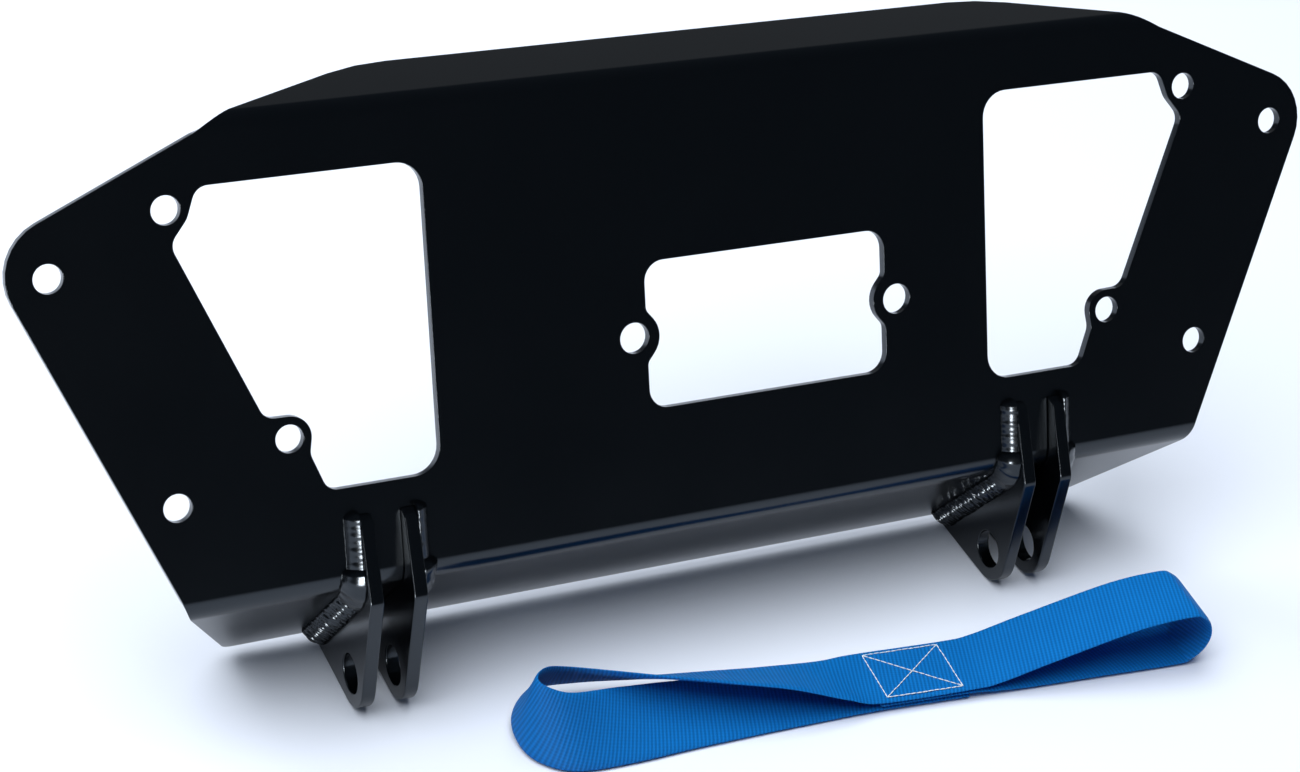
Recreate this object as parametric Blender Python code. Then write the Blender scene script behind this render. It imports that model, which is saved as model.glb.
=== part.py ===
"""Front plow mount of a small utility vehicle, standing beside its sewn lift strap.

World frame: metres, +Z up, +X to the right, +Y away from the viewer, origin on the
plate's rear face, where the vehicle holds it.

The mount is a laser-cut steel blank with both long edges bent back and two clevis
brackets welded on. It is modelled upright in its own frame (front face at Y = 0,
winch fairlead at Z = 0) and then leaned back until the rear edges of its four ears
are level with the floor that the strap lies on.
"""
import math

import bmesh
import bpy
from mathutils import Matrix, Vector

# ---- driving dimensions, metres and radians --------------------------------------

CLEARANCE = 0.0003          # gap left between pieces that touch

# steel blank
SHEET = 0.0040              # plate thickness
SLANT = math.radians(23.5)  # lean of the side edges, and of the edges above them
CORNER_RADIUS = 0.0225      # outer corners
SIDE_MARGIN = 0.0165        # outer bolt row to the side edge
TOP_MARGIN = 0.0202         # upper bolt pair to the slanted top edge
FLANGE_CORNER = 0.006       # rounding of the lower flange's rear corners
TOP_FLANGE_CORNER = 0.066   # rounding of the upper flange's rear corners

# bends: where each starts on the front face, outside radius, angle, straight length
TOP_BEND_AT = 0.1036
TOP_BEND_RADIUS = 0.0080
TOP_BEND_ANGLE = math.radians(70.0)
TOP_FLANGE = 0.0258
LOW_BEND_AT = -0.0775
LOW_BEND_RADIUS = 0.0110
LOW_BEND_ANGLE = math.radians(60.0)
LOW_FLANGE = 0.0650

# frame bolts: four on each side, on a rectangle turned by the slant
BOLT_MIDDLE = (0.2345, 0.0183)
BOLT_ACROSS = 0.0510
BOLT_ALONG = 0.1040
BOLT_HOLE = 0.0115
BOLT_BOSS = 0.0092          # material kept round the bolt holes beside a window

# side windows
WINDOW_INNER = 0.1284
WINDOW_TOP = 0.0838
WINDOW_BOTTOM = -0.0426
WINDOW_OVERLAP = 0.0048     # the slanted edge passes this far outside the inner bolt row
WINDOW_STEP = 0.0037        # and below the lower bolt this far inside it
WINDOW_CORNER = 0.0110
WINDOW_FILLET = 0.0065

# where the vehicle holds the plate: height of the point on its rear face
HELD_AT = 0.0700

# winch fairlead opening, off centre
FAIRLEAD_MIDDLE = 0.0215
FAIRLEAD_WIDTH = 0.1124
FAIRLEAD_HEIGHT = 0.0621
FAIRLEAD_CORNER = 0.0085
FAIRLEAD_BOLTS = 0.1238     # centre to centre
FAIRLEAD_HOLE = 0.0130
FAIRLEAD_BOSS = 0.0114

# clevis brackets
BRACKET_SPACING = 0.3055    # middle of one clevis to the middle of the other
BRACKET_OFFSET = -0.0006    # the pair of clevises to the plate's middle line
EAR_GAP = 0.0127            # between the two ears of a clevis
EAR_THICKNESS = 0.0060
EAR_TOP = -0.0540           # height at which an ear leaves the front face
EAR_TOP_DEPTH = 0.0045      # how far it stands out there
EAR_CORNER = (-0.0102, -0.0895)
EAR_CORNER_RADIUS = 0.0060
EAR_OVERHANG = 0.0030       # past the lower flange's rear edge
EAR_NOSE = 0.0035           # straight bit below that edge
PIN_CENTRE = (0.0218, -0.1268)
PIN_HOLE = 0.0170
EAR_TIP_RADIUS = 0.0145

# weld beads
FACE_LEG = 0.0062
BEND_LEG = 0.0088
FLANGE_LEG = 0.0080
WELD_RISE = 0.0015          # how far a face bead starts above the top of its ear
WELD_SHORT = 0.0008         # how far before the flange's rear edge a flange bead stops

# lift strap
WEBBING_WIDTH = 0.0320
WEBBING_THICK = 0.0016
THREAD_WIDTH = 0.0010
THREAD_THICK = 0.0004
STITCH_BOX = (0.0360, 0.0272)
STITCH_MIDDLE = (0.0712, -0.0559)
STRAP_TURN = math.radians(-4.3)     # how far the sewn run lies off the X direction
EYE_HEIGHT = 0.0272         # right eye, middle of the lower run to middle of the upper run
EYE_END = 0.1950            # where the right eye starts to turn back

ARC_STEP = math.radians(12.0)
CIRCLE_STEPS = 28


# ---- small geometry helpers ------------------------------------------------------

def meet(p, p_dir, q, q_dir):
    """Point where two straight lines cross in a plane."""
    cross = p_dir.x * q_dir.y - p_dir.y * q_dir.x
    gap = q - p
    return p + p_dir * ((gap.x * q_dir.y - gap.y * q_dir.x) / cross)


def rounded(corners):
    """Closed outline through (point, radius) corners, each rounded to its radius.

    Two fillets that would run into each other on a short edge shrink to share it.
    """
    halves, reaches = [], []
    for index, (corner, radius) in enumerate(corners):
        before = (corners[index - 1][0] - corner).normalized()
        after = (corners[(index + 1) % len(corners)][0] - corner).normalized()
        halves.append((before, after, before.angle(after) / 2.0))
        reaches.append(radius / math.tan(halves[-1][2]))
    outline = []
    for index, (corner, radius) in enumerate(corners):
        before, after, half = halves[index]
        share = 1.0
        for other in (index - 1, (index + 1) % len(corners)):
            edge = (corners[other][0] - corner).length
            share = min(share, edge / max(reaches[index] + reaches[other], edge))
        reach = reaches[index] * share
        if reach < 0.00001:
            outline.append(corner)
            continue
        radius *= share
        centre = corner + (before + after).normalized() * (radius / math.sin(half))
        start = corner + before * reach - centre
        turn = math.pi - 2.0 * half
        if before.x * after.y - before.y * after.x > 0.0:
            turn = -turn
        steps = max(2, math.ceil(abs(turn) / ARC_STEP))
        for step in range(steps + 1):
            angle = turn * step / steps
            outline.append(centre + Vector((
                start.x * math.cos(angle) - start.y * math.sin(angle),
                start.x * math.sin(angle) + start.y * math.cos(angle))))
    return [point for index, point in enumerate(outline) if (point - outline[index - 1]).length > 0.00001]


def circle(centre, diameter):
    """Outline of a round hole."""
    turns = [2.0 * math.pi * step / CIRCLE_STEPS for step in range(CIRCLE_STEPS)]
    return [Vector(centre) + Vector((math.cos(a), math.sin(a))) * diameter / 2.0 for a in turns]


def mirrored(outline):
    """The same outline on the other side of the middle line."""
    return [Vector((-point.x, point.y)) for point in outline]


def finish(name, bm, material, parent):
    """Turn a bmesh into a named object under its parent."""
    bmesh.ops.remove_doubles(bm, verts=bm.verts, dist=0.00001)
    bmesh.ops.recalc_face_normals(bm, faces=bm.faces)
    mesh = bpy.data.meshes.new(name)
    bm.to_mesh(mesh)
    bm.free()
    mesh.materials.append(material)
    mesh.set_sharp_from_angle(angle=math.radians(35.0))
    thing = bpy.data.objects.new(name, mesh)
    bpy.context.collection.objects.link(thing)
    thing.parent = parent
    return thing


def sheet_with_holes(outline, holes, thickness):
    """Flat sheet in X and Z, cut to an outline with holes, its front face at Y = 0."""
    bm = bmesh.new()
    edges = []
    for loop in [outline] + holes:
        verts = [bm.verts.new((point.x, 0.0, point.y)) for point in loop]
        edges += [bm.edges.new((a, b)) for a, b in zip(verts, verts[1:] + verts[:1])]
    bmesh.ops.triangle_fill(bm, use_beauty=True, edges=edges)
    raised = bmesh.ops.extrude_face_region(bm, geom=bm.faces[:])
    moved = [item for item in raised["geom"] if isinstance(item, bmesh.types.BMVert)]
    bmesh.ops.translate(bm, verts=moved, vec=(0.0, thickness, 0.0))
    return bm


def painted(name, colour, roughness, metallic=0.0):
    """Plain material of one colour."""
    material = bpy.data.materials.new(name)
    material.use_nodes = True
    surface = material.node_tree.nodes["Principled BSDF"]
    surface.inputs["Base Color"].default_value = (*colour, 1.0)
    surface.inputs["Roughness"].default_value = roughness
    surface.inputs["Metallic"].default_value = metallic
    return material


# ---- the blank and its bends -----------------------------------------------------

OUTWARD = Vector((math.cos(SLANT), -math.sin(SLANT)))
UPWARD = Vector((math.sin(SLANT), math.cos(SLANT)))


def bolt(across, along):
    """Right-hand bolt hole: across is -1 inner or +1 outer, along is -1 low or +1 high."""
    middle = Vector(BOLT_MIDDLE)
    return middle + OUTWARD * (across * BOLT_ACROSS / 2.0) + UPWARD * (along * BOLT_ALONG / 2.0)


def bend_length(radius, angle):
    """Length of flat sheet that a bend takes, along the middle of its thickness."""
    return (radius - SHEET / 2.0) * angle


TOP_EDGE = TOP_BEND_AT + bend_length(TOP_BEND_RADIUS, TOP_BEND_ANGLE) + TOP_FLANGE
LOW_EDGE = LOW_BEND_AT - bend_length(LOW_BEND_RADIUS, LOW_BEND_ANGLE) - LOW_FLANGE


def folded(x, height, depth):
    """Where a point of the flat blank lies once both flanges are bent back.

    height is measured up the flat blank and depth back from its front face.
    """
    if height > TOP_BEND_AT:
        start, up, radius, angle = TOP_BEND_AT, 1.0, TOP_BEND_RADIUS, TOP_BEND_ANGLE
    elif height < LOW_BEND_AT:
        start, up, radius, angle = LOW_BEND_AT, -1.0, LOW_BEND_RADIUS, LOW_BEND_ANGLE
    else:
        return Vector((x, depth, height))
    over = (height - start) * up
    turn = min(over / (radius - SHEET / 2.0), angle)
    past = max(over - bend_length(radius, angle), 0.0)
    reach = radius - depth
    back = radius - reach * math.cos(turn) + past * math.sin(turn)
    rise = reach * math.sin(turn) + past * math.cos(turn)
    return Vector((x, back, start + up * rise))


def bend_heights(start, up, radius, angle):
    """Heights on the blank at which a bend is divided."""
    steps = math.ceil(angle / ARC_STEP) + 1
    return [start + up * bend_length(radius, angle) * step / steps for step in range(steps + 1)]


def window_outline():
    """Right-hand side window, stepping round the two inner bolt holes."""
    high, low = bolt(-1, 1), bolt(-1, -1)
    slant_foot = low + OUTWARD * WINDOW_OVERLAP
    step_foot = low - OUTWARD * WINDOW_STEP
    level = Vector((1.0, 0.0))
    over_low = low + Vector((0.0, BOLT_BOSS))
    below_low = low + Vector((-0.87, -0.80)) * BOLT_BOSS
    below_high = high + Vector((-0.62, -0.80)) * BOLT_BOSS
    above_high = Vector((high.x - 1.36 * BOLT_BOSS, WINDOW_TOP))
    return rounded([
        (Vector((WINDOW_INNER, WINDOW_BOTTOM)), WINDOW_CORNER),
        (meet(Vector((0.0, WINDOW_BOTTOM)), level, step_foot, UPWARD), WINDOW_FILLET),
        (below_low, WINDOW_FILLET),
        (low + Vector((-1.18, 0.94)) * BOLT_BOSS, BOLT_BOSS * 0.96),
        (meet(over_low, level, slant_foot, UPWARD), WINDOW_FILLET),
        (meet(below_high, Vector((0.64, -0.77)), slant_foot, UPWARD), WINDOW_FILLET),
        (high + Vector((-0.88, -0.47)) * BOLT_BOSS, BOLT_BOSS),
        (above_high, WINDOW_FILLET),
        (Vector((WINDOW_INNER, WINDOW_TOP)), WINDOW_CORNER),
    ])


def fairlead_outline():
    """Winch fairlead opening with a boss at the middle of each short side."""
    half_turn = math.radians(40.0)
    edge, top = FAIRLEAD_WIDTH / 2.0, FAIRLEAD_HEIGHT / 2.0
    crown = FAIRLEAD_BOLTS / 2.0 - FAIRLEAD_BOSS
    crown_rise = FAIRLEAD_BOSS * math.tan(half_turn / 2.0)
    root_rise = crown_rise + (edge - crown) / math.tan(half_turn)
    root_fillet = FAIRLEAD_BOSS * 0.35
    boss = []
    if edge - crown > crown_rise * math.sin(half_turn):
        boss = [(Vector((edge, -root_rise)), root_fillet), (Vector((crown, -crown_rise)), FAIRLEAD_BOSS),
                (Vector((crown, crown_rise)), FAIRLEAD_BOSS), (Vector((edge, root_rise)), root_fillet)]
    side = [(Vector((edge, -top)), FAIRLEAD_CORNER)] + boss + [(Vector((edge, top)), FAIRLEAD_CORNER)]
    other = [(Vector((-corner.x, corner.y)), radius) for corner, radius in reversed(side)]
    shift = Vector((FAIRLEAD_MIDDLE, 0.0))
    return [point + shift for point in rounded(side + other)]


def blank_outline():
    """Outline of the flat blank, both flanges unrolled."""
    outer = bolt(1, 1) + OUTWARD * SIDE_MARGIN + UPWARD * TOP_MARGIN
    level = Vector((1.0, 0.0))
    low = meet(Vector((0.0, LOW_EDGE)), level, outer, UPWARD)
    high = meet(Vector((0.0, TOP_EDGE)), level, outer, OUTWARD)
    right = [(low, FLANGE_CORNER), (outer, CORNER_RADIUS), (high, TOP_FLANGE_CORNER)]
    left = [(Vector((-corner.x, corner.y)), radius) for corner, radius in reversed(right)]
    return rounded(right + left)


def make_plate(material, parent):
    """The blank with all its openings, folded along both bends."""
    window = window_outline()
    holes = [window, mirrored(window), fairlead_outline()]
    for across in (-1, 1):
        for along in (-1, 1):
            hole = circle(bolt(across, along), BOLT_HOLE)
            holes += [hole, mirrored(hole)]
    for side in (-1, 1):
        holes.append(circle((FAIRLEAD_MIDDLE + side * FAIRLEAD_BOLTS / 2.0, 0.0), FAIRLEAD_HOLE))
    bm = sheet_with_holes(blank_outline(), holes, SHEET)
    lines = bend_heights(TOP_BEND_AT, 1.0, TOP_BEND_RADIUS, TOP_BEND_ANGLE)
    lines += bend_heights(LOW_BEND_AT, -1.0, LOW_BEND_RADIUS, LOW_BEND_ANGLE)
    for height in lines:
        bmesh.ops.bisect_plane(bm, geom=bm.verts[:] + bm.edges[:] + bm.faces[:], dist=0.000001,
                               plane_co=(0.0, 0.0, height), plane_no=(0.0, 0.0, 1.0))
    for vert in bm.verts:
        vert.co = folded(vert.co.x, vert.co.z, vert.co.y)
    return finish("mount_plate", bm, material, parent)


# ---- ears and welds --------------------------------------------------------------

def side_view(height, depth):
    """A point of the folded section, as back and up."""
    point = folded(0.0, height, depth)
    return Vector((point.y, point.z))


def tangent_point(outside, centre, radius, side):
    """Where a line from an outside point touches a circle."""
    reach = outside - centre
    swing = side * math.acos(radius / reach.length)
    unit = reach.normalized()
    return centre + radius * Vector((
        unit.x * math.cos(swing) - unit.y * math.sin(swing),
        unit.x * math.sin(swing) + unit.y * math.cos(swing)))


PIN = Vector(PIN_CENTRE)
REAR_NOSE = side_view(LOW_EDGE - EAR_OVERHANG, -CLEARANCE - EAR_NOSE)
REST_FRONT = tangent_point(REAR_NOSE, PIN, EAR_TIP_RADIUS, -1.0)
REST_EDGE = REAR_NOSE - REST_FRONT
LEAN = math.atan2(REST_EDGE.y, REST_EDGE.x)


def ear_outline():
    """Side view of an ear, its back edge following the plate's folded front face."""
    corner = Vector(EAR_CORNER)
    front_touch = tangent_point(corner, PIN, EAR_TIP_RADIUS, 1.0)
    tip = meet(REAR_NOSE, REST_EDGE, corner, front_touch - corner)
    top_front = Vector((-EAR_TOP_DEPTH, EAR_TOP - EAR_TOP_DEPTH * 0.6))
    heights = [EAR_TOP] + bend_heights(LOW_BEND_AT, -1.0, LOW_BEND_RADIUS, LOW_BEND_ANGLE)
    heights.append(LOW_EDGE - EAR_OVERHANG)
    back = [(side_view(height, -CLEARANCE), 0.0) for height in heights]
    return rounded(back + [(REAR_NOSE, 0.0), (tip, EAR_TIP_RADIUS), (corner, EAR_CORNER_RADIUS),
                           (top_front, EAR_TOP_DEPTH * 0.5)])


def make_ear(name, left_face, material, parent):
    """One ear, cut from flat bar and turned so that its thickness runs along X."""
    bm = sheet_with_holes(ear_outline(), [circle(PIN, PIN_HOLE)], EAR_THICKNESS)
    for vert in bm.verts:
        back, depth, up = vert.co
        vert.co = (left_face + depth, back, up)
    return finish(name, bm, material, parent)


def bead_section(leg):
    """Rounded fillet section: how far out from the ear, and how far off the plate."""
    return [Vector((0.0, 0.0)), Vector((leg, 0.0)), Vector((leg * 0.86, leg * 0.42)),
            Vector((leg * 0.42, leg * 0.86)), Vector((0.0, leg))]


def sweep(rings):
    """Closed solid through rings of points, capped at both ends."""
    bm = bmesh.new()
    loops = []
    for ring in rings:
        verts = [bm.verts.new(point) for point in ring]
        loops.append([bm.edges.new((a, b)) for a, b in zip(verts, verts[1:] + verts[:1])])
    bmesh.ops.contextual_create(bm, geom=loops[0])
    bmesh.ops.contextual_create(bm, geom=loops[-1])
    for first, second in zip(loops, loops[1:]):
        bmesh.ops.bridge_loops(bm, edges=first + second)
    return bm


def make_side_weld(name, ear_face, out, heights, leg, material, parent):
    """Bead in the corner between an ear's outer side and the plate."""
    rings = []
    for height in heights:
        rings.append([folded(ear_face + out * (CLEARANCE + point.x), height, -CLEARANCE - point.y)
                      for point in bead_section(leg)])
    return finish(name, sweep(rings), material, parent)


def make_brackets(material, parent):
    """Two clevises of two ears, each ear welded to the plate on its outer side."""
    bend = bend_heights(LOW_BEND_AT, -1.0, LOW_BEND_RADIUS, LOW_BEND_ANGLE)
    face_run = [EAR_TOP + WELD_RISE, LOW_BEND_AT]
    bend_run = [LOW_BEND_AT - CLEARANCE] + bend[1:]
    flange_run = [bend[-1] - CLEARANCE, LOW_EDGE + WELD_SHORT]
    welds = (("_face_weld", face_run, FACE_LEG), ("_bend_weld", bend_run, BEND_LEG),
             ("_flange_weld", flange_run, FLANGE_LEG))
    for side, side_name in ((-1.0, "left"), (1.0, "right")):
        for place, place_name in ((-1.0, "inner"), (1.0, "outer")):
            out = side * place
            inside = BRACKET_OFFSET + side * BRACKET_SPACING / 2.0 + out * EAR_GAP / 2.0
            outside = inside + out * EAR_THICKNESS
            ear = side_name + "_" + place_name + "_ear"
            left_face = min(inside, outside)
            make_ear(ear, left_face, material, parent)
            for weld, heights, leg in welds:
                make_side_weld(ear + weld, outside, out, heights, leg, material, parent)


# ---- lift strap ------------------------------------------------------------------

STITCH_MARGIN = 0.0030      # webbing past the stitching at each end
LAYER = WEBBING_THICK + CLEARANCE
BOTTOM_LAYER = THREAD_THICK + CLEARANCE + WEBBING_THICK / 2.0
EYE_RUN = BOTTOM_LAYER + EYE_HEIGHT


def on_edge(roll):
    """Height of the webbing's centre line where its lower edge rests on the floor."""
    half = WEBBING_WIDTH / 2.0
    return CLEARANCE + WEBBING_THICK / 2.0 + half * math.sin(math.radians(roll))


def lane(x):
    """Middle line of the sewn run and the right eye."""
    return STITCH_MIDDLE[1] + (x - STITCH_MIDDLE[0]) * math.tan(STRAP_TURN)


def strap_route():
    """Stations of the strap: x, y, z, heading and roll of its width, in degrees.

    The strip starts in the middle layer under the stitching, runs right along the
    floor, turns up round the flat right eye, comes back over the stitching, rolls
    up on its edge round the standing left eye and ends in the bottom layer.
    Heading 90 points the width away from the viewer, and roll lifts its near edge.
    """
    square = 90.0 + math.degrees(STRAP_TURN)
    right = STITCH_MIDDLE[0] + STITCH_BOX[0] / 2.0 + STITCH_MARGIN
    left = STITCH_MIDDLE[0] - STITCH_BOX[0] / 2.0 - STITCH_MARGIN
    low, middle, top = BOTTOM_LAYER, BOTTOM_LAYER + LAYER, BOTTOM_LAYER + 2.0 * LAYER
    radius = EYE_HEIGHT / 2.0
    sewn_run = [(left, middle), (right, middle), (right + 0.012, low + 0.0009), (right + 0.030, low),
                (EYE_END - 0.040, low), (EYE_END, low)]
    for degrees in range(-60, 61, 30):
        angle = math.radians(degrees)
        sewn_run.append((EYE_END + radius * math.cos(angle), low + radius + radius * math.sin(angle)))
    sewn_run += [(EYE_END, EYE_RUN), (EYE_END - 0.025, EYE_RUN - 0.0030),
                 (EYE_END - 0.065, EYE_RUN - 0.0145), (right + 0.014, top + 0.0015), (right, top), (left, top)]
    route = [(x, lane(x), z, square, 0.0) for x, z in sewn_run]
    route += [
        (0.0330, -0.0532, top + 0.0022, 87, 10), (0.0070, -0.0495, on_edge(24) + 0.0045, 88, 24),
        (-0.0200, -0.0440, on_edge(33) + 0.0045, 88, 33), (-0.0480, -0.0380, on_edge(42) + 0.0045, 88, 42),
        (-0.0740, -0.0325, on_edge(50) + 0.0052, 90, 50), (-0.0910, -0.0300, on_edge(57) + 0.0050, 100, 57),
        (-0.1015, -0.0350, on_edge(70) + 0.0030, 140, 70), (-0.1055, -0.0440, on_edge(79) + 0.0008, 190, 79),
        (-0.1010, -0.0530, on_edge(68) + 0.0002, 236, 68), (-0.0890, -0.0580, on_edge(54), 258, 54),
        (-0.0650, -0.0562, on_edge(35), 266, 35), (-0.0400, -0.0538, on_edge(21), 268, 21),
        (-0.0100, -0.0530, on_edge(11), 270, 11), (0.0200, -0.0532, on_edge(3.5), 269, 3.5),
        (left, lane(left), low, square + 180.0, 0.0), (right, lane(right), low, square + 180.0, 0.0),
    ]
    return route


def between(before, here, there, after, share):
    """Catmull-Rom value between two stations."""
    return 0.5 * (2.0 * here + (there - before) * share
                  + (2.0 * before - 5.0 * here + 4.0 * there - after) * share ** 2
                  + (3.0 * (here - there) + after - before) * share ** 3)


def make_webbing(material, parent):
    """The strap's strip as one closed ribbon of its true width, thickness and length."""
    route = strap_route()
    steps = 3
    rings = []
    for index in range(len(route) - 1):
        near = [route[max(index - 1, 0)], route[index], route[index + 1],
                route[min(index + 2, len(route) - 1)]]
        for step in range(steps + (index == len(route) - 2)):
            x, y, z, heading, roll = (between(*values, step / steps) for values in zip(*near))
            heading, roll = math.radians(heading), math.radians(roll)
            across = Vector((math.cos(roll) * math.cos(heading), math.cos(roll) * math.sin(heading),
                             -math.sin(roll))) * (WEBBING_WIDTH / 2.0)
            rings.append((Vector((x, y, z)), across))
    sections = []
    for index, (centre, across) in enumerate(rings):
        along = rings[min(index + 1, len(rings) - 1)][0] - rings[max(index - 1, 0)][0]
        face = across.cross(along).normalized() * (WEBBING_THICK / 2.0)
        sections.append([centre - across - face, centre + across - face,
                         centre + across + face, centre - across + face])
    return finish("strap_webbing", sweep(sections), material, parent)


def make_stitching(name, bottom, material, parent):
    """A box of stitches crossed corner to corner, as one thin flat piece."""
    length, width = STITCH_BOX[0] / 2.0, STITCH_BOX[1] / 2.0
    half = THREAD_WIDTH / 2.0
    slope = Vector((length, width)).normalized()
    inner_x, inner_y = length - half, width - half
    spread_x, spread_y = half / slope.y, half / slope.x
    outline = [Vector((sx * (length + half), sy * (width + half)))
               for sx, sy in ((1, -1), (1, 1), (-1, 1), (-1, -1))]
    holes = []
    for sign in (-1.0, 1.0):
        holes.append([Vector((0.0, sign * spread_y)),
                      Vector((inner_x - spread_x, sign * inner_y)),
                      Vector((spread_x - inner_x, sign * inner_y))])
        holes.append([Vector((sign * spread_x, 0.0)),
                      Vector((sign * inner_x, inner_y - spread_y)),
                      Vector((sign * inner_x, spread_y - inner_y))])
    bm = sheet_with_holes(outline, holes, THREAD_THICK)
    turn = Matrix.Rotation(STRAP_TURN, 3, "Z")
    for vert in bm.verts:
        x, up, y = vert.co
        vert.co = Vector((*STITCH_MIDDLE, bottom)) + turn @ Vector((x, y, up))
    return finish(name, bm, material, parent)


def make_strap(webbing, thread, parent):
    """Webbing with its stitching on both sides."""
    make_webbing(webbing, parent)
    top_face = BOTTOM_LAYER + 2.0 * LAYER + WEBBING_THICK / 2.0
    make_stitching("strap_stitching_top", top_face + CLEARANCE, thread, parent)
    make_stitching("strap_stitching_bottom", 0.0, thread, parent)


# ---- put together ----------------------------------------------------------------

def clear_scene():
    for thing in list(bpy.data.objects):
        bpy.data.objects.remove(thing, do_unlink=True)


def new_empty(name):
    empty = bpy.data.objects.new(name, None)
    bpy.context.collection.objects.link(empty)
    return empty


def lean_back(mount):
    """Lean the mount back until the rear edges of its ears lie on the floor, at Z = 0."""
    mount.rotation_euler = (-LEAN, 0.0, 0.0)
    bpy.context.view_layer.update()
    touch = mount.matrix_world @ Vector((0.0, REST_FRONT.x, REST_FRONT.y))
    mount.location = -touch


def hold_at_origin(mount, groups):
    """Move everything so that the origin is where the vehicle holds the plate."""
    bpy.context.view_layer.update()
    held = mount.matrix_world @ Vector((0.0, SHEET, HELD_AT))
    for group in groups:
        group.location -= held


def main():
    clear_scene()
    powder_coat = painted("black_powder_coat", (0.012, 0.013, 0.016), 0.22)
    blue_webbing = painted("blue_webbing", (0.010, 0.140, 0.460), 0.75)
    white_thread = painted("white_thread", (0.800, 0.820, 0.840), 0.70)
    mount, strap = new_empty("mount_upright"), new_empty("strap_on_floor")
    make_plate(powder_coat, mount)
    make_brackets(powder_coat, mount)
    make_strap(blue_webbing, white_thread, strap)
    lean_back(mount)
    hold_at_origin(mount, [mount, strap])


main()
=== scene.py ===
"""Front plow mount of a small utility vehicle, with its sewn lift strap on the floor.

Steel plate and ears under glossy black powder coat, hand-laid weld beads, woven blue
webbing and white box stitching. Metres, +Z up, origin on the plate's rear face.
"""
import math
import random

import bmesh
import bpy
from mathutils import Matrix, Vector


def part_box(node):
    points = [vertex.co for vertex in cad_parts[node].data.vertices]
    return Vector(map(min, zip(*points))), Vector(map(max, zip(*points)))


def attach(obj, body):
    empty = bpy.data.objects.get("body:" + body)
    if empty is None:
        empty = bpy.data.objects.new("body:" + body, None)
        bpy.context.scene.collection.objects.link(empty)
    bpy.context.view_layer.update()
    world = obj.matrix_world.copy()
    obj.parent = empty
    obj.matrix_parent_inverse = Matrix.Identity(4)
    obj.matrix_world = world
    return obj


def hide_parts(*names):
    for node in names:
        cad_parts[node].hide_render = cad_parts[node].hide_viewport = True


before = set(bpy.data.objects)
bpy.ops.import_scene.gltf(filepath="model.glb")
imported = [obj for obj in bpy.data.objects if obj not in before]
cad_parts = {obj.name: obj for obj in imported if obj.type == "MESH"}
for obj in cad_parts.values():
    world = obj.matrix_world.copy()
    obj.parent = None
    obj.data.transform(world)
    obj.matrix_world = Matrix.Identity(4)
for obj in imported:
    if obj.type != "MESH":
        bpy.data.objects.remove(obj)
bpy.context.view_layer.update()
random.seed(11)

# ---- camera ----------------------------------------------------------------------
# A long lens from the front left, looking down on the mount and the strap.

camera = bpy.data.objects.new("camera", bpy.data.cameras.new("camera"))
bpy.context.scene.collection.objects.link(camera)
camera.data.sensor_width = 36.0
camera.data.lens = 80.48
camera.location = (-0.52712, -0.88431, 0.60947)
camera.rotation_euler = (math.radians(54.3485), math.radians(-7.8139), math.radians(-24.7196))
camera.data.clip_end = 100.0
bpy.context.scene.camera = camera
bpy.context.scene.view_settings.view_transform = "Standard"


# ---- floor and light -------------------------------------------------------------
# A plain pale sweep under one large soft box above and behind on the left. The gloss
# sees a dim warm card at the back and a small bright box low at the front left instead.

FLOOR = -0.20116        # what the ears and the strap rest on
FLOOR_DROP = 0.0002     # the sweep lies this far below it


def node_material(name):
    """New material with its surface shader and a helper that adds linked nodes."""
    made = bpy.data.materials.new(name)
    made.use_nodes = True
    tree = made.node_tree

    def add(kind, links=(), **values):
        node = tree.nodes.new(kind)
        for key, value in values.items():
            if hasattr(node, key):
                setattr(node, key, value)
            else:
                node.inputs[key.replace("_", " ")].default_value = value
        for socket, source in links:
            tree.links.new(source, node.inputs[socket])
        return node

    return made, tree.nodes["Principled BSDF"], add, tree.links.new


floor_paint, floor_surface = node_material("pale_floor")[:2]
floor_surface.inputs["Base Color"].default_value = (0.72, 0.79, 0.92, 1.0)
floor_surface.inputs["Roughness"].default_value = 0.9
floor_surface.inputs["Specular IOR Level"].default_value = 0.1
floor_mesh = bmesh.new()
bmesh.ops.create_grid(floor_mesh, x_segments=1, y_segments=1, size=14.0)
floor_data = bpy.data.meshes.new("floor")
floor_mesh.to_mesh(floor_data)
floor_mesh.free()
floor_data.materials.append(floor_paint)
floor = bpy.data.objects.new("floor", floor_data)
bpy.context.scene.collection.objects.link(floor)
floor.location.z = FLOOR - FLOOR_DROP


def soft_box(name, place, aim, size, watts, colour):
    """Rectangular area light aimed at a point."""
    lamp = bpy.data.lights.new(name, "AREA")
    lamp.shape = "RECTANGLE"
    lamp.size, lamp.size_y = size
    lamp.energy = watts
    lamp.color = colour
    light = bpy.data.objects.new(name, lamp)
    light.location = place
    light.rotation_euler = (Vector(aim) - Vector(place)).to_track_quat("-Z", "Y").to_euler()
    bpy.context.scene.collection.objects.link(light)
    return light


key = soft_box("overhead_box", (-0.6, 0.25, 1.9), (0.0, -0.05, -0.2), (3.4, 3.0), 125.0,
               (1.0, 0.99, 0.97))
key.visible_glossy = False
card = soft_box("back_card", (1.3, 2.7, 0.9), (0.0, 0.0, 0.0), (3.4, 1.8), 1.9,
                (1.0, 0.97, 0.92))
edge = soft_box("edge_box", (-0.79, -1.06, 0.03), (-0.15, -0.05, -0.15), (0.26, 0.30), 15.0,
                (1.0, 1.0, 1.0))
card.visible_diffuse = edge.visible_diffuse = False

world = bpy.data.worlds.new("studio")
world.use_nodes = True
world.node_tree.nodes["Background"].inputs["Color"].default_value = (0.052, 0.066, 0.084, 1.0)
bpy.context.scene.world = world


# ---- powder coat -----------------------------------------------------------------
# One coat sprayed and baked over plate, ears and welds together: a fine orange peel
# with a little grain, and a few pale specks of dust.

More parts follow.
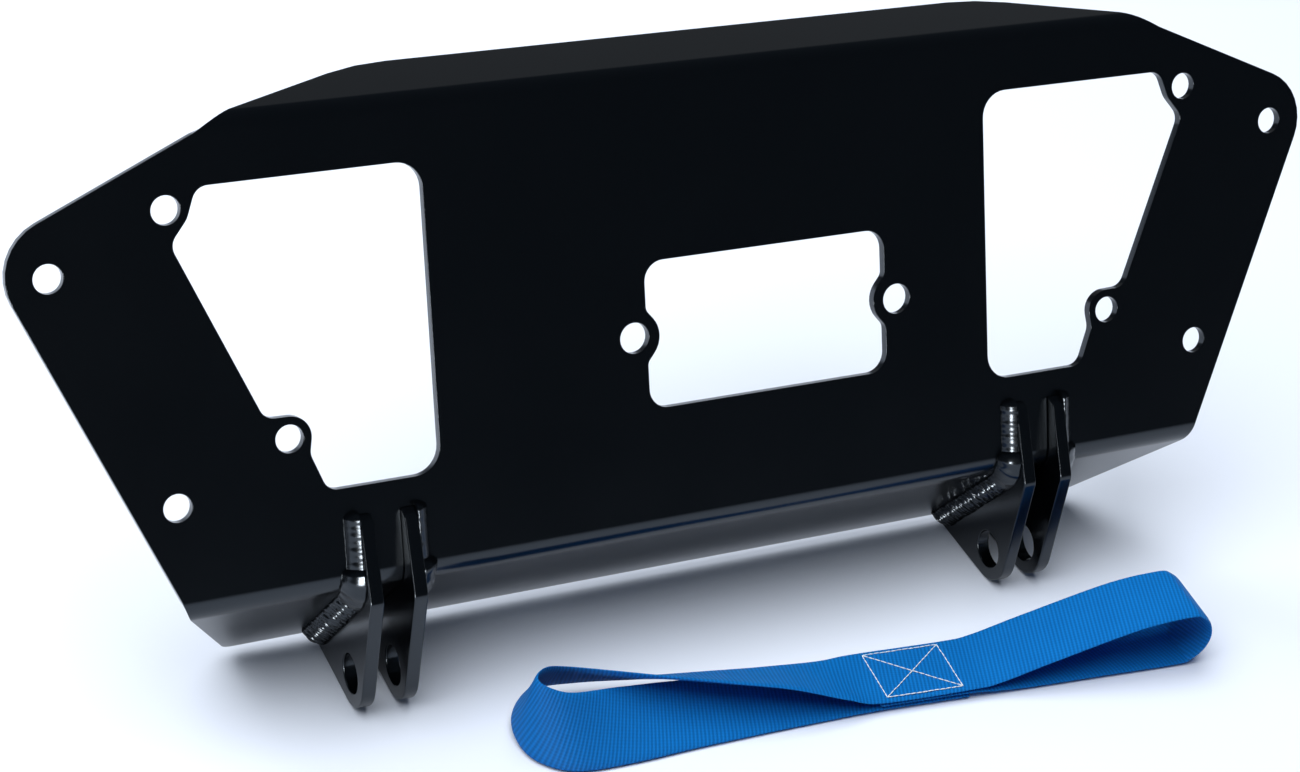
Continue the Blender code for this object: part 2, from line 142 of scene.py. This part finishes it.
COAT_COLOUR = (0.0008, 0.0011, 0.0016)
COAT_ROUGHNESS = 0.20
PEEL_HEIGHT = 0.000010
GRAIN_HEIGHT = 0.000005
GLOSS_LOW, GLOSS_HIGH = 0.82, 1.18      # how far the roughness wanders
SPECK_SIZE = 0.012
DUST = (0.045, 0.047, 0.05, 1.0)
# bluish tint on the coat's reflections: painted colour of bluish light, not the coat's own
PAINTED_BLUE_REFLECTION_TINT = (0.80, 0.90, 1.0, 1.0)


def powder_coat(name, base, rough, peel, grain):
    """Glossy near-black powder coat; peel and grain are relief heights in metres."""
    made, surface, add, link = node_material(name)
    where = add("ShaderNodeTexCoord").outputs["Object"]
    wide = add("ShaderNodeTexNoise", [("Vector", where)], Scale=420.0, Detail=2.0, Roughness=0.5)
    fine = add("ShaderNodeTexNoise", [("Vector", where)], Scale=1500.0, Detail=2.0, Roughness=0.6)
    soft = add("ShaderNodeTexNoise", [("Vector", where)], Scale=18.0, Detail=3.0, Roughness=0.5)
    swell = add("ShaderNodeBump", [("Height", wide.outputs["Fac"])], Strength=1.0, Distance=peel)
    relief = add("ShaderNodeBump", Strength=1.0, Distance=grain,
                 links=[("Height", fine.outputs["Fac"]), ("Normal", swell.outputs["Normal"])])
    gloss = add("ShaderNodeMapRange", [("Value", soft.outputs["Fac"])])
    gloss.inputs["To Min"].default_value = rough * GLOSS_LOW
    gloss.inputs["To Max"].default_value = rough * GLOSS_HIGH
    specks = add("ShaderNodeTexVoronoi", [("Vector", where)], Scale=55.0)
    near = add("ShaderNodeMath", [(0, specks.outputs["Distance"])], operation="LESS_THAN")
    near.inputs[1].default_value = SPECK_SIZE
    tint = add("ShaderNodeMix", [("Factor", near.outputs[0])], data_type="RGBA")
    tint.inputs[6].default_value = (*base, 1.0)
    tint.inputs[7].default_value = DUST
    # painted bluish tint on every reflection of the coat
    surface.inputs["Specular Tint"].default_value = PAINTED_BLUE_REFLECTION_TINT
    link(tint.outputs[2], surface.inputs["Base Color"])
    link(gloss.outputs["Result"], surface.inputs["Roughness"])
    link(relief.outputs["Normal"], surface.inputs["Normal"])
    return made


coat = powder_coat("black_powder_coat", COAT_COLOUR, COAT_ROUGHNESS, PEEL_HEIGHT, GRAIN_HEIGHT)


# ---- plate -----------------------------------------------------------------------
# Laser-cut 4 mm steel blank with both long edges bent back. The cut edges are broken
# by deburring before coating, so every edge catches a thin line of light.

EDGE_BREAK = 0.0005
MERGE = 0.00001
FLAT = math.radians(0.5)        # faces closer than this to one plane are joined
SHARP = math.radians(35.0)      # edges sharper than this are eased


def eased_copy(node, width, material, segments=2):
    """Copy of a steel piece with its loose triangles merged and its sharp edges eased."""
    bm = bmesh.new()
    bm.from_mesh(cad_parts[node].data)
    bmesh.ops.remove_doubles(bm, verts=bm.verts, dist=MERGE)
    bmesh.ops.dissolve_limit(bm, angle_limit=FLAT, verts=bm.verts, edges=bm.edges)
    bmesh.ops.recalc_face_normals(bm, faces=bm.faces)
    sharp = [edge for edge in bm.edges
             if len(edge.link_faces) == 2 and edge.calc_face_angle() > SHARP]
    bmesh.ops.bevel(bm, geom=sharp, offset=width, segments=segments, profile=0.5, affect="EDGES",
                    offset_type="OFFSET", clamp_overlap=True, material=-1)
    bmesh.ops.triangulate(bm, faces=[face for face in bm.faces if len(face.verts) > 4])
    piece = shaded_piece(node + "_coated", bm, material)
    weighted = piece.modifiers.new("weighted", "WEIGHTED_NORMAL")
    weighted.mode = "FACE_AREA"
    stand_in(piece, "mount", "black_powder_coat", node)


def shaded_piece(name, bm, material):
    """Smooth-shaded object from a bmesh."""
    for face in bm.faces:
        face.smooth = True
    data = bpy.data.meshes.new(name)
    bm.to_mesh(data)
    bm.free()
    data.materials.append(material)
    piece = bpy.data.objects.new(name, data)
    bpy.context.scene.collection.objects.link(piece)
    return piece


def stand_in(piece, body, slot, *nodes):
    """The piece shows in place of its CAD nodes and moves with their body."""
    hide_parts(*nodes)
    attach(piece, body)


eased_copy("mount_plate", EDGE_BREAK, coat)


# ---- ears ------------------------------------------------------------------------
# Four ears cut from 6 mm plate, a little more rounded by hand grinding than the
# laser-cut sheet, under the same coat.

EAR_EDGE = 0.0007
EARS = ("left_outer_ear", "left_inner_ear", "right_inner_ear", "right_outer_ear")

for ear in EARS:
    eased_copy(ear, EAR_EDGE, coat, segments=3)


# ---- welds -----------------------------------------------------------------------
# Each ear is welded on its outer side in three runs: a smooth fillet down the face, a
# wide puddle over the bend and a stack of ripples down the flange, coated over.

LEAN = math.radians(24.3277)
FOOT = Vector((0.0, 0.0277734, -0.1400125))    # where an ear's tip meets the floor, plate upright
FOOT_AT = Vector((0.0, -0.0648534, -0.2011577))
BEND_START = -0.0775
BEND_RADIUS = 0.0110
BEND_ANGLE = math.radians(60.0)
MID_SHEET = 0.0020
FLANGE = 0.0650
BEND_END = -BEND_START + (BEND_RADIUS - MID_SHEET) * BEND_ANGLE

RING_STEP = 0.00030     # length of bead between two rings
RING_SPOTS = 12         # steps across the bead
ROOT_SINK = 0.0004      # how far the root lies inside the steel
TOE_SINK = 0.0001       # and each toe
END_SHARE = 0.55        # length of a rounded end, in legs
CHEVRON = 0.0022        # how far a ripple's middle leads its toes
FACE_BEAD = {"start": 0.0522, "stop": 0.0800, "leg": 0.0056, "pitch": 0.0060,
             "height": 0.00006, "bulge": 0.10, "lumps": 0.00007}
BEND_BEAD = {"start": 0.0745, "stop": BEND_END + 0.0045, "leg": 0.0084, "pitch": 0.0070,
             "height": 0.00020, "bulge": 0.13, "lumps": 0.00020}
FLANGE_BEAD = {"start": BEND_END - 0.0010, "stop": BEND_END + FLANGE - 0.0006, "leg": 0.0074,
               "pitch": 0.0023, "height": 0.0026, "bulge": 0.10, "lumps": 0.00030}
RUNS = {"face": FACE_BEAD, "bend": BEND_BEAD, "flange": FLANGE_BEAD}


def on_steel(x, run, off):
    """Point off the plate's outer skin, run metres down the flat blank below the fairlead."""
    past = BEND_START + run
    if past <= 0.0:
        upright = Vector((x, -off, -run))
    else:
        turn = min(past / (BEND_RADIUS - MID_SHEET), BEND_ANGLE)
        straight = max(past - (BEND_RADIUS - MID_SHEET) * BEND_ANGLE, 0.0)
        reach = BEND_RADIUS + off
        upright = Vector((x, BEND_RADIUS - reach * math.cos(turn) + straight * math.sin(turn),
                          BEND_START - reach * math.sin(turn) - straight * math.cos(turn)))
    return Matrix.Rotation(-LEAN, 3, "X") @ (upright - FOOT) + FOOT_AT


def ripple(position, pitch):
    """One weld ripple: a steep front and a long round back."""
    share = (position / pitch) % 1.0
    return math.sqrt(max(0.0, 1.0 - (2.0 * share - 1.0) ** 2))


def weld(name, ear_x, out, start, stop, leg, pitch, height, bulge, lumps, node):
    """Convex fillet along an ear's outer side, laid in ripples from start to stop."""
    count = max(8, int((stop - start) / RING_STEP))
    phases = [random.uniform(0.0, 6.28) for _ in range(4)]
    bm = bmesh.new()
    rings = []
    for index in range(count + 1):
        run = start + (stop - start) * index / count
        edge = min(run - start, stop - run) / (leg * END_SHARE)
        taper = math.sqrt(max(0.0, 1.0 - (1.0 - min(edge, 1.0)) ** 2)) * 0.94 + 0.06
        wander = lumps * (math.sin(run * 900.0 + phases[0])
                          + 0.6 * math.sin(run * 2100.0 + phases[1]))
        jitter = 0.0003 * math.sin(run * 1300 + phases[2])
        ring = [bm.verts.new(on_steel(ear_x - out * ROOT_SINK, run, -ROOT_SINK))]
        for spot in range(RING_SPOTS + 1):
            across = spot / RING_SPOTS
            arch = math.sin(math.pi * across)
            beat = ripple(run + CHEVRON * (arch - 1.0) + jitter, pitch)
            crest = height * (beat - 0.5) * (0.35 + 0.65 * arch) * min(edge, 1.0)
            size = (leg + wander) * taper + crest
            swell = bulge * arch * size
            sideways = size * (1.0 - across) + swell
            off = size * across + swell
            ring.append(bm.verts.new(
                on_steel(ear_x + out * (sideways - TOE_SINK), run, off - TOE_SINK)))
        rings.append(ring)
    for first, second in zip(rings, rings[1:]):
        for here in range(len(first)):
            there = (here + 1) % len(first)
            bm.faces.new((first[here], first[there], second[there], second[here]))
    bm.faces.new(rings[0])
    bm.faces.new(list(reversed(rings[-1])))
    bmesh.ops.recalc_face_normals(bm, faces=bm.faces)
    piece = shaded_piece(name, bm, coat)
    stand_in(piece, "mount", "black_powder_coat", node)


for ear in EARS:
    low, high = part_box(ear)
    out = -1.0 if ear in ("left_outer_ear", "right_inner_ear") else 1.0
    ear_x = high.x if out > 0.0 else low.x
    for run_name, bead in RUNS.items():
        weld(f"{ear}_{run_name}_bead", ear_x, out, node=f"{ear}_{run_name}_weld", **bead)


# ---- lift strap ------------------------------------------------------------------
# One length of 32 mm blue polyester webbing. It is folded into a flat eye on the right
# and a standing eye with a half twist on the left, and its ends are sewn together.

WIDTH = 0.0320
THICK = 0.0016
GAP = 0.0003
THREAD = 0.0004
LAYER = THICK + GAP
STITCHED = Vector((0.0712, -0.0559))
BOX = (0.0360, 0.0272)
SEWN_MARGIN = 0.0030
STRAP_TURN = math.radians(-4.3)
EYE_HEIGHT = 0.0272
EYE_END = 0.1950


def lane(x):
    """Middle line of the sewn run and the right eye."""
    return STITCHED.y + (x - STITCHED.x) * math.tan(STRAP_TURN)


def on_edge(roll):
    """Height of the middle line where the lower edge rests on the floor."""
    return GAP + THICK / 2.0 + WIDTH / 2.0 * math.sin(math.radians(roll))


def strap_route():
    """Stations of the strap: x, y, height, heading and roll of its width, in degrees."""
    square = 90.0 + math.degrees(STRAP_TURN)
    right = STITCHED.x + BOX[0] / 2.0 + SEWN_MARGIN
    left = STITCHED.x - BOX[0] / 2.0 - SEWN_MARGIN
    low = THREAD + GAP + THICK / 2.0
    middle, top = low + LAYER, low + 2.0 * LAYER
    upper, radius = low + EYE_HEIGHT, EYE_HEIGHT / 2.0
    run = [(left, middle), (right, middle), (right + 0.012, low + 0.0009), (right + 0.030, low),
           (EYE_END - 0.040, low), (EYE_END, low)]
    for degrees in range(-60, 61, 30):
        angle = math.radians(degrees)
        run.append((EYE_END + radius * math.cos(angle), low + radius + radius * math.sin(angle)))
    run += [(EYE_END, upper), (EYE_END - 0.025, upper - 0.0030), (EYE_END - 0.065, upper - 0.0145),
            (right + 0.014, top + 0.0015), (right, top), (left, top)]
    route = [(x, lane(x), z, square, 0.0) for x, z in run]
    # the left eye on its lower edge: x, y, lift off the floor, heading and roll
    left_eye = [
        (0.0070, -0.0495, 0.0045, 88, 24), (-0.0200, -0.0440, 0.0045, 88, 33),
        (-0.0480, -0.0380, 0.0045, 88, 42), (-0.0740, -0.0325, 0.0052, 90, 50),
        (-0.0910, -0.0300, 0.0050, 100, 57), (-0.1015, -0.0350, 0.0030, 140, 70),
        (-0.1055, -0.0440, 0.0008, 190, 79), (-0.1010, -0.0530, 0.0002, 236, 68),
        (-0.0890, -0.0580, 0.0, 258, 54), (-0.0650, -0.0562, 0.0, 266, 35),
        (-0.0400, -0.0538, 0.0, 268, 21), (-0.0100, -0.0530, 0.0, 270, 11),
        (0.0200, -0.0532, 0.0, 269, 3.5),
    ]
    route.append((0.0330, -0.0532, top + 0.0022, 87, 10))
    route += [(x, y, on_edge(roll) + lift, heading, roll) for x, y, lift, heading, roll in left_eye]
    route += [(x, lane(x), low, square + 180.0, 0.0) for x in (left, right)]
    return route


def between(before, here, there, after, share):
    """Catmull-Rom value between two stations."""
    return 0.5 * (2.0 * here + (there - before) * share
                  + (2.0 * before - 5.0 * here + 4.0 * there - after) * share ** 2
                  + (3.0 * (here - there) + after - before) * share ** 3)


def strap_lines(steps):
    """Middle line, half width and facing of the strap, steps to each station."""
    route = strap_route()
    lines = []
    for index in range(len(route) - 1):
        near = [route[max(index - 1, 0)], route[index], route[index + 1],
                route[min(index + 2, len(route) - 1)]]
        for step in range(steps + (index == len(route) - 2)):
            x, y, z, heading, roll = (between(*values, step / steps) for values in zip(*near))
            heading, roll = math.radians(heading), math.radians(roll)
            across = Vector((math.cos(roll) * math.cos(heading), math.cos(roll) * math.sin(heading),
                             -math.sin(roll)))
            lines.append((Vector((x, y, z)) + FOOT_AT, across))
    faced = []
    for index, (centre, across) in enumerate(lines):
        along = lines[min(index + 1, len(lines) - 1)][0] - lines[max(index - 1, 0)][0]
        faced.append((centre, across, across.cross(along).normalized()))
    return faced


RIB = (0.0065, 0.0018, 1.0)         # pitch across, pitch along, lean
COUNTER = (0.0014, 0.0070, -1.0)
COUNTER_SHARE = 0.25
FUZZ_SHARE = 0.8
# the weave's hollows are painted darker and its crowns lighter: painted shade and painted light
SHADED_HOLLOW_BLUE = (0.0030, 0.092, 0.290, 1.0)
LIT_CROWN_BLUE = (0.0060, 0.190, 0.620, 1.0)
FADED = (0.80, 0.86, 0.90, 1.0)
SELVEDGE_POWER = 14
SELVEDGE_THIN = 0.03


def webbing_material():
    """Blue polyester webbing: cross ribs broken by the warp cords, with painted light on their
    crowns and painted shade between them.
    """
    made, surface, add, link = node_material("blue_webbing")
    spot = add("ShaderNodeUVMap", uv_map="weave").outputs["UV"]
    parts = add("ShaderNodeSeparateXYZ", [("Vector", spot)])

    def wave(across_pitch, along_pitch, lean):
        """Sine over the cloth with these pitches in metres."""
        side = add("ShaderNodeMath", [(0, parts.outputs["X"])], operation="MULTIPLY")
        side.inputs[1].default_value = lean * 2.0 * math.pi / across_pitch
        length = add("ShaderNodeMath", [(0, parts.outputs["Y"])], operation="MULTIPLY_ADD")
        length.inputs[1].default_value = 2.0 * math.pi / along_pitch
        link(side.outputs[0], length.inputs[2])
        return add("ShaderNodeMath", [(0, length.outputs[0])], operation="SINE").outputs[0]

    rib = wave(*RIB)
    counter = wave(*COUNTER)
    weave = add("ShaderNodeMath", [(0, counter), (2, rib)], operation="MULTIPLY_ADD")
    weave.inputs[1].default_value = COUNTER_SHARE
    fuzz = add("ShaderNodeTexNoise", [("Vector", spot)], Scale=2600.0, Detail=2.0, Roughness=0.6)
    height = add("ShaderNodeMath", [(0, fuzz.outputs["Fac"]), (2, weave.outputs[0])],
                 operation="MULTIPLY_ADD")
    height.inputs[1].default_value = FUZZ_SHARE
    # how high the weave stands picks painted shade in its hollows and painted light on its crowns
    lit_crown_share = add("ShaderNodeMapRange", [("Value", height.outputs[0])])
    lit_crown_share.inputs["From Min"].default_value = -1.2
    lit_crown_share.inputs["From Max"].default_value = 2.2
    blotch = add("ShaderNodeTexNoise", [("Vector", spot)], Scale=70.0, Detail=3.0, Roughness=0.55)
    shaded_weave = add("ShaderNodeMix", [("Factor", lit_crown_share.outputs["Result"])], data_type="RGBA")
    shaded_weave.inputs[6].default_value = SHADED_HOLLOW_BLUE
    shaded_weave.inputs[7].default_value = LIT_CROWN_BLUE
    fade = add("ShaderNodeMix", [("Factor", blotch.outputs["Fac"]), (6, shaded_weave.outputs[2])],
               data_type="RGBA", blend_type="MULTIPLY")
    fade.inputs[7].default_value = FADED
    bump = add("ShaderNodeBump", [("Height", height.outputs[0])], Strength=0.8, Distance=0.00009)
    link(fade.outputs[2], surface.inputs["Base Color"])
    link(bump.outputs["Normal"], surface.inputs["Normal"])
    surface.inputs["Roughness"].default_value = 0.62
    surface.inputs["Specular IOR Level"].default_value = 0.08
    return made


def make_webbing():
    """The strip with round selvedges and a weave map in metres; returns it and its length."""
    lines = strap_lines(8)
    across_steps = 14
    bm = bmesh.new()
    weave = bm.loops.layers.uv.new("weave")
    rings, places = [], []
    length = 0.0
    for index, (centre, across, face) in enumerate(lines):
        if index:
            length += (centre - lines[index - 1][0]).length
        ring, place = [], []
        for side in (-1.0, 1.0):
            for step in range(across_steps + 1):
                share = math.cos(math.pi * step / across_steps) * side
                thin = (1.0 - abs(share) ** SELVEDGE_POWER) * (1.0 - SELVEDGE_THIN) + SELVEDGE_THIN
                ring.append(bm.verts.new(centre + across * (share * WIDTH / 2.0)
                                         + face * (side * thin * THICK / 2.0)))
                place.append((share * WIDTH / 2.0, length))
        rings.append(ring)
        places.append(place)
    for number in range(len(rings) - 1):
        count = len(rings[0])
        for here in range(count):
            there = (here + 1) % count
            face = bm.faces.new((rings[number][here], rings[number][there],
                                 rings[number + 1][there], rings[number + 1][here]))
            spots = (places[number][here], places[number][there],
                     places[number + 1][there], places[number + 1][here])
            for loop, spot in zip(face.loops, spots):
                loop[weave].uv = spot
    bm.faces.new(rings[0])
    bm.faces.new(list(reversed(rings[-1])))
    bmesh.ops.recalc_face_normals(bm, faces=bm.faces)
    return shaded_piece("webbing", bm, webbing_material()), length


webbing, strap_length = make_webbing()
stand_in(webbing, "strap", "blue_webbing", "strap_webbing")


# ---- stitching -------------------------------------------------------------------
# White bonded thread in a box crossed corner to corner, the same on both faces. Each
# stitch lies proud in the middle and dips into the cloth at both ends.

STITCH_PITCH = 0.0028
STITCH_LONG = 0.0029
STITCH_STRAY = 0.00008      # how far a stitch lies off its seam
STITCH_SWAY = 0.04          # and off its direction, in radians
TOP_THREAD, LOW_THREAD = 0.00026, 0.00030
TOP_FACE = THREAD + GAP + 2.0 * LAYER + THICK


def thread_material():
    """White twisted thread, slightly grubby."""
    made, surface, add, link = node_material("white_thread")
    where = add("ShaderNodeTexCoord").outputs["Object"]
    strand = add("ShaderNodeTexNoise", [("Vector", where)], Scale=3500.0, Detail=2.0, Roughness=0.5)
    tone = add("ShaderNodeMix", [("Factor", strand.outputs["Fac"])], data_type="RGBA")
    tone.inputs[6].default_value = (0.50, 0.60, 0.70, 1.0)
    tone.inputs[7].default_value = (0.90, 0.93, 0.95, 1.0)
    bump = add("ShaderNodeBump", [("Height", strand.outputs["Fac"])], Strength=0.6, Distance=0.00005)
    link(tone.outputs[2], surface.inputs["Base Color"])
    link(bump.outputs["Normal"], surface.inputs["Normal"])
    surface.inputs["Roughness"].default_value = 0.6
    return made


def make_stitches(name, height, radius, node):
    """All the stitches of one face of the strap as one piece, at this height above the floor."""
    half_x, half_y = BOX[0] / 2.0, BOX[1] / 2.0
    corners = [Vector((-half_x, -half_y)), Vector((half_x, -half_y)),
               Vector((half_x, half_y)), Vector((-half_x, half_y))]
    seams = list(zip(corners, corners[1:] + corners[:1]))
    seams += [(corners[0], corners[2]), (corners[3], corners[1])]
    turn = Matrix.Rotation(STRAP_TURN, 3, "Z")
    bm = bmesh.new()
    for start, stop in seams:
        run = stop - start
        count = max(1, round(run.length / STITCH_PITCH))
        for index in range(count):
            flat = start + run * (index + 0.5) / count
            flat += Vector((random.uniform(-1.0, 1.0), random.uniform(-1.0, 1.0))) * STITCH_STRAY
            middle = turn @ Vector((flat.x, flat.y, 0.0)) + Vector((*STITCHED, height)) + FOOT_AT
            angle = math.atan2(run.y, run.x) + STRAP_TURN + random.uniform(-STITCH_SWAY, STITCH_SWAY)
            shape = (Matrix.Translation(middle) @ Matrix.Rotation(angle, 4, "Z")
                     @ Matrix.Diagonal((STITCH_LONG / 2.0, radius, radius, 1.0))
                     @ Matrix.Rotation(math.pi / 2.0, 4, "Y"))
            bmesh.ops.create_uvsphere(bm, u_segments=8, v_segments=6, radius=1.0, matrix=shape)
    piece = shaded_piece(name, bm, white_thread)
    stand_in(piece, "strap", "white_thread", node)
    return piece


white_thread = thread_material()
top_stitches = make_stitches("top_stitches", TOP_FACE + 0.00005, TOP_THREAD, "strap_stitching_top")
low_stitches = make_stitches("low_stitches", THREAD + 0.0001, LOW_THREAD, "strap_stitching_bottom")
